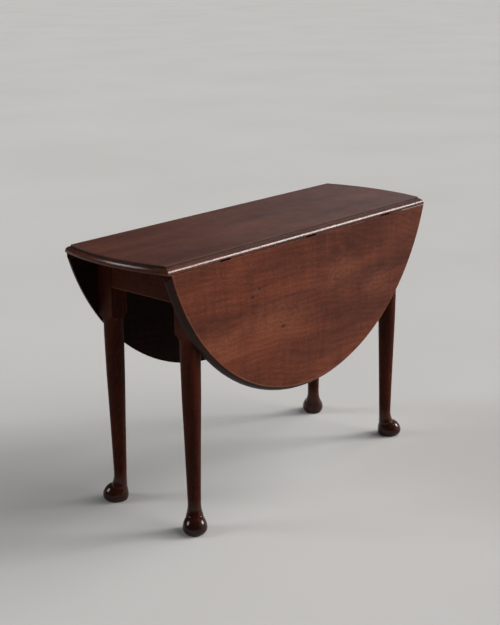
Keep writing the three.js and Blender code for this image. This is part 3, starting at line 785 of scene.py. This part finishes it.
def leg_finish(name, seed):
    finish = Finish(name)
    colour, pores, drift = mix_mahogany(finish, LEG_TONES, "z", 0.25, seed, ring_width=0.009)
    height = finish.add("SeparateXYZ", {0: finish.place}).outputs["Z"]
    # Feet and ankles are blackened by floor wax and knocks, and the toes rubbed through.
    scuffs = finish.noise(finish.mapped((38, 38, 60)), detail=5, roughness=0.7)
    low_down = finish.math("MULTIPLY", finish.span(height, 0.075, 0.010),
                           finish.span(scuffs, 0.25, 0.6))
    colour = finish.blend(finish.math("MULTIPLY", low_down, 0.7), colour, FLOOR_WAX)
    rubs = finish.math("MULTIPLY", finish.span(scuffs, 0.64, 0.74), finish.span(height, 0.30, 0.0))
    colour = finish.blend(finish.math("MULTIPLY", rubs, 0.45), colour, WORN_TONE)
    return finish_mahogany(finish, colour, pores, drift, 0.50, waviness=0.0006, shine=0.07,
                           coat=finish.span(height, 0.095, 0.055, 0.0, 0.45),
                           polished=finish.span(height, 0.30, 0.06))


LEGS = (("front_left_fixed_leg", "fixed_frame", False), ("back_right_fixed_leg", "fixed_frame", False),
        ("front_right_gate_leg", "front_gate", True), ("back_left_gate_leg", "back_gate", True))
for number, (node, body, gate) in enumerate(LEGS):
    leg = turned_leg(f"{node}_turned", body, node, gate)
    leg.data.materials.append(leg_finish(f"leg_mahogany_{number + 1}", 3 + 2 * number))

# ---- Rails ----
# Straight mahogany rails tenoned into the leg blocks: two end rails, and on each long side a fixed
# rail and a fly rail, which meet at a wooden knuckle joint. They are planed, stained and hardly
# polished.
RAIL_TONES = ((0.022, 0.0042, 0.0014), (0.044, 0.0085, 0.0028), (0.078, 0.0180, 0.0066))
RAIL_EDGE_WEAR_AND_HIGHLIGHT = (0.15, 0.062, 0.032)
END_RAIL_ARRIS = 0.0008
SIDE_RAIL_ARRIS = 0.0006


def rail_finish(name, along, seed):
    finish = Finish(name)
    colour, pores, drift = mix_mahogany(finish, RAIL_TONES, along, 0.3, seed, ring_width=0.008)
    height = finish.add("SeparateXYZ", {0: finish.place}).outputs["Z"]
    rail_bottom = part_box("left_end_rail")[0].z
    # The bottom edge is painted paler, partly worn and partly a painted highlight.
    rubbed_and_lit = finish.span(height, rail_bottom + 0.0035, rail_bottom + 0.0006)
    colour = finish.blend(finish.math("MULTIPLY", rubbed_and_lit, 0.55), colour, RAIL_EDGE_WEAR_AND_HIGHLIGHT)
    return finish_mahogany(finish, colour, pores, drift, 0.56, waviness=0.0008, coat=0.0, shine=0.06)


side_rail_wood = rail_finish("side_rail_mahogany", "x", 4)
end_rail_wood = rail_finish("end_rail_mahogany", "y", 6)
for end in ("left", "right"):
    rail = trimmed_copy(f"{end}_end_rail", f"{end}_end_rail_planed", END_RAIL_ARRIS)
    rail.data.materials.append(end_rail_wood)
    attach(rail, "fixed_frame")
for side in ("front", "back"):
    for kind, body in (("fixed_rail", "fixed_frame"), ("fly_rail", f"{side}_gate")):
        rail = trimmed_copy(f"{side}_{kind}", f"{side}_{kind}_planed", SIDE_RAIL_ARRIS)
        rail.data.materials.append(side_rail_wood)
        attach(rail, body)

# ---- Knuckle pins ----
# One iron rod drops down through the five fingers of each wooden knuckle joint, and the gate
# swings on it.
PIN_ARRIS = 0.0006
for side in ("front", "back"):
    pin = trimmed_copy(f"{side}_knuckle_pin", f"{side}_knuckle_rod", PIN_ARRIS)
    pin.data.materials.append(iron)
    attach(pin, "fixed_frame")

# ---- Pegs ----
# Riven mahogany pegs, driven through the block and the tenon and trimmed off at the face, where
# their end grain stands a hair proud and has taken the stain darker.
PEG_SIDES = 14
PEG_DOME = 0.0004
PEG_TAPER = 0.75
PEG_EDGE = 0.0007
PEG_CROWN = 0.0010
PEG_SHARP_ANGLE = math.radians(50)


def peg_finish():
    finish = Finish("peg_end_grain")
    dots = finish.noise(finish.mapped((900, 900, 900)), detail=3, roughness=0.7)
    colour = finish.ramp(dots, [(0.35, (0.012, 0.005, 0.003)), (0.65, (0.045, 0.016, 0.009))])
    finish.put(finish.shader.inputs["Base Color"], colour)
    finish.put(finish.shader.inputs["Roughness"], finish.math("MULTIPLY_ADD", dots, 0.3, 0.35))
    finish.put(finish.shader.inputs["Normal"], finish.bump(dots, 0.0002))
    return finish.material


peg_wood = peg_finish()


def driven_peg(node, body):
    """A peg tapered to its point, with a faintly domed head."""
    low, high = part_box(node)
    middle = (low + high) / 2
    length_axis = 0 if high.x - low.x > high.y - low.y else 1
    outward = Vector((0, 0, 0))
    outward[length_axis] = 1 if middle[length_axis] > 0 else -1
    length = high[length_axis] - low[length_axis]
    radius = (high.z - low.z) / 2
    turn = Vector((0, 0, 1)).rotation_difference(outward).to_matrix().to_4x4()
    place = Matrix.Translation(middle - outward * PEG_DOME / 2) @ turn
    mesh = bmesh.new()
    bmesh.ops.create_cone(mesh, cap_ends=True, segments=PEG_SIDES, radius1=radius * PEG_TAPER,
                          radius2=radius, depth=length - PEG_DOME, matrix=place)
    mesh.normal_update()
    head = max(mesh.faces, key=lambda face: face.calc_center_median().dot(outward))
    bmesh.ops.inset_region(mesh, faces=[head], thickness=PEG_EDGE, depth=PEG_DOME * 0.7)
    bmesh.ops.inset_region(mesh, faces=[head], thickness=PEG_CROWN, depth=PEG_DOME * 0.3)
    peg = new_piece(f"{node}_driven", mesh)
    for polygon in peg.data.polygons:
        polygon.use_smooth = True
    peg.data.set_sharp_from_angle(angle=PEG_SHARP_ANGLE)
    peg.data.materials.append(peg_wood)
    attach(peg, body)
    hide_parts(node)


for side in ("front", "back"):
    for place in ("lower", "upper"):
        driven_peg(f"{side}_fixed_leg_side_peg_{place}", "fixed_frame")
        driven_peg(f"{side}_fixed_leg_end_peg_{place}", "fixed_frame")
        driven_peg(f"{side}_gate_leg_peg_{place}", f"{side}_gate")

# ---- Inner rails and glue blocks ----
# Inside the frame, where nothing shows, the timber is plain oak left from the saw: a rail behind
# each knuckle joint, and three-cornered blocks rubbed in with hot glue under the board.
OAK_TONES = ((0.085, 0.052, 0.030), (0.150, 0.098, 0.058), (0.215, 0.150, 0.095))
OAK_GRIME = (0.038, 0.026, 0.018)
OAK_ARRIS = 0.0009


def oak_finish(name, along, seed):
    finish = Finish(name)
    colour, pores, drift = mix_mahogany(finish, OAK_TONES, along, 0.3, seed, ring_width=0.006)
    saw = finish.add("TexWave", {"Vector": finish.mapped((1, 1, 1), turn=(0, 0.2, 0)), "Scale": 95.0,
                                 "Distortion": 1.4, "Detail": 2.0}, wave_type="BANDS").outputs["Fac"]
    grime = finish.noise(finish.mapped((12, 12, 12)), detail=5, roughness=0.65)
    colour = finish.blend(finish.span(grime, 0.35, 0.75, 0.1, 0.75), colour, OAK_GRIME)
    finish.put(finish.shader.inputs["Base Color"], colour)
    finish.put(finish.shader.inputs["Roughness"], finish.math("MULTIPLY_ADD", drift, 0.2, 0.66))
    rough = finish.bump(saw, 0.0003)
    finish.put(finish.shader.inputs["Normal"], finish.bump(pores, 0.0003, under=rough))
    return finish.material


oak_lengthwise = oak_finish("oak_rail", "x", 1)
oak_across = oak_finish("oak_end_block", "y", 2)
OAK_PIECES = [(f"{side}_inner_rail", oak_lengthwise) for side in ("front", "back")]
OAK_PIECES += [(f"{side}_glue_block_{number}", oak_lengthwise)
               for side in ("front", "back") for number in (1, 2)]
OAK_PIECES += [(f"{end}_end_glue_block", oak_across) for end in ("left", "right")]
for node, wood in OAK_PIECES:
    piece = trimmed_copy(node, f"{node}_sawn", OAK_ARRIS)
    piece.data.materials.append(wood)
    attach(piece, "fixed_frame")

# ---- Pocket screws ----
# Hand-filed iron screws hold the board down. Each stands in a pocket gouged into the inside of a
# rail and leans out as it rises into the board.
POCKET_SCREWS = [f"{side}_pocket_screw_{number}" for side in ("front", "back") for number in (1, 2)]
POCKET_SCREWS += [f"{end}_end_pocket_screw" for end in ("left", "right")]
for node in POCKET_SCREWS:
    screw = trimmed_copy(node, f"{node}_filed", IRON_ARRIS)
    screw.data.materials.append(iron)
    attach(screw, "fixed_frame")

# ---- Floor and light ----
# A plain pale floor, and soft light from a wall and a window to the right of the table. A far window
# behind it touches the mouldings of the near end, which otherwise stands in the room's shade.
FLOOR_RADIUS = 60
BACKDROP_TONE = (0.55, 0.54, 0.53, 1)
BRIGHT_SIDE = Vector((0.90, -0.25, 0.25))


def floor_finish():
    finish = Finish("pale_floor")
    tone = finish.noise(finish.mapped((0.8, 0.8, 0.8)), detail=4)
    finish.put(finish.shader.inputs["Base Color"],
               finish.ramp(tone, [(0.3, (0.50, 0.49, 0.475)), (0.7, (0.53, 0.52, 0.505))]))
    finish.shader.inputs["Roughness"].default_value = 1.0
    finish.shader.inputs["Specular IOR Level"].default_value = 0.0
    return finish.material


floor_mesh = bmesh.new()
bmesh.ops.create_circle(floor_mesh, cap_ends=True, segments=64, radius=FLOOR_RADIUS)
floor = new_piece("floor", floor_mesh)
floor.data.materials.append(floor_finish())


def distant_window(name, direction, strength, spread, colour):
    """Light from far off in a direction, as soft as a window that fills this angle."""
    light = bpy.data.lights.new(name, "SUN")
    light.energy = strength
    light.angle = math.radians(spread)
    light.color = colour
    window = bpy.data.objects.new(name, light)
    window.rotation_euler = Vector(direction).to_track_quat("Z", "Y").to_euler()
    bpy.context.scene.collection.objects.link(window)
    return window


bright_wall = distant_window("bright_wall", (0.66, -0.53, 0.53), 2.9, 75, (1.0, 0.985, 0.97))
bright_wall.visible_glossy = False
distant_window("window", (0.74, -0.52, 0.42), 1.9, 19, (1.0, 0.985, 0.97))
distant_window("far_window", (-0.60, 0.61, 0.50), 1.0, 22, (0.93, 0.96, 1.0))

bpy.context.scene.view_settings.view_transform = "Standard"
world = bpy.data.worlds.new("room")
bpy.context.scene.world = world
world.use_nodes = True
room = world.node_tree
direction = room.nodes.new("ShaderNodeTexCoord").outputs["Generated"]
facing_bright = room.nodes.new("ShaderNodeVectorMath")
facing_bright.operation = "DOT_PRODUCT"
room.links.new(direction, facing_bright.inputs[0])
facing_bright.inputs[1].default_value = BRIGHT_SIDE.normalized()
falloff = room.nodes.new("ShaderNodeValToRGB")
room.links.new(facing_bright.outputs["Value"], falloff.inputs["Fac"])
ROOM_SHADES = ((0.0, (0.060, 0.058, 0.058)), (0.48, (0.080, 0.080, 0.083)), (0.66, (0.40, 0.41, 0.43)))
falloff.color_ramp.elements.new(0.5)
for element, (position, colour) in zip(falloff.color_ramp.elements, ROOM_SHADES):
    element.position = position
    element.color = (*colour, 1)
# The camera sees an even pale tone behind the floor. The room only lights the table.
seen = room.nodes.new("ShaderNodeLightPath").outputs["Is Camera Ray"]
backdrop = room.nodes.new("ShaderNodeMix")
backdrop.data_type = "RGBA"
room.links.new(seen, backdrop.inputs[0])
room.links.new(falloff.outputs["Color"], backdrop.inputs[6])
backdrop.inputs[7].default_value = BACKDROP_TONE
room.links.new(backdrop.outputs[2], room.nodes["Background"].inputs["Color"])
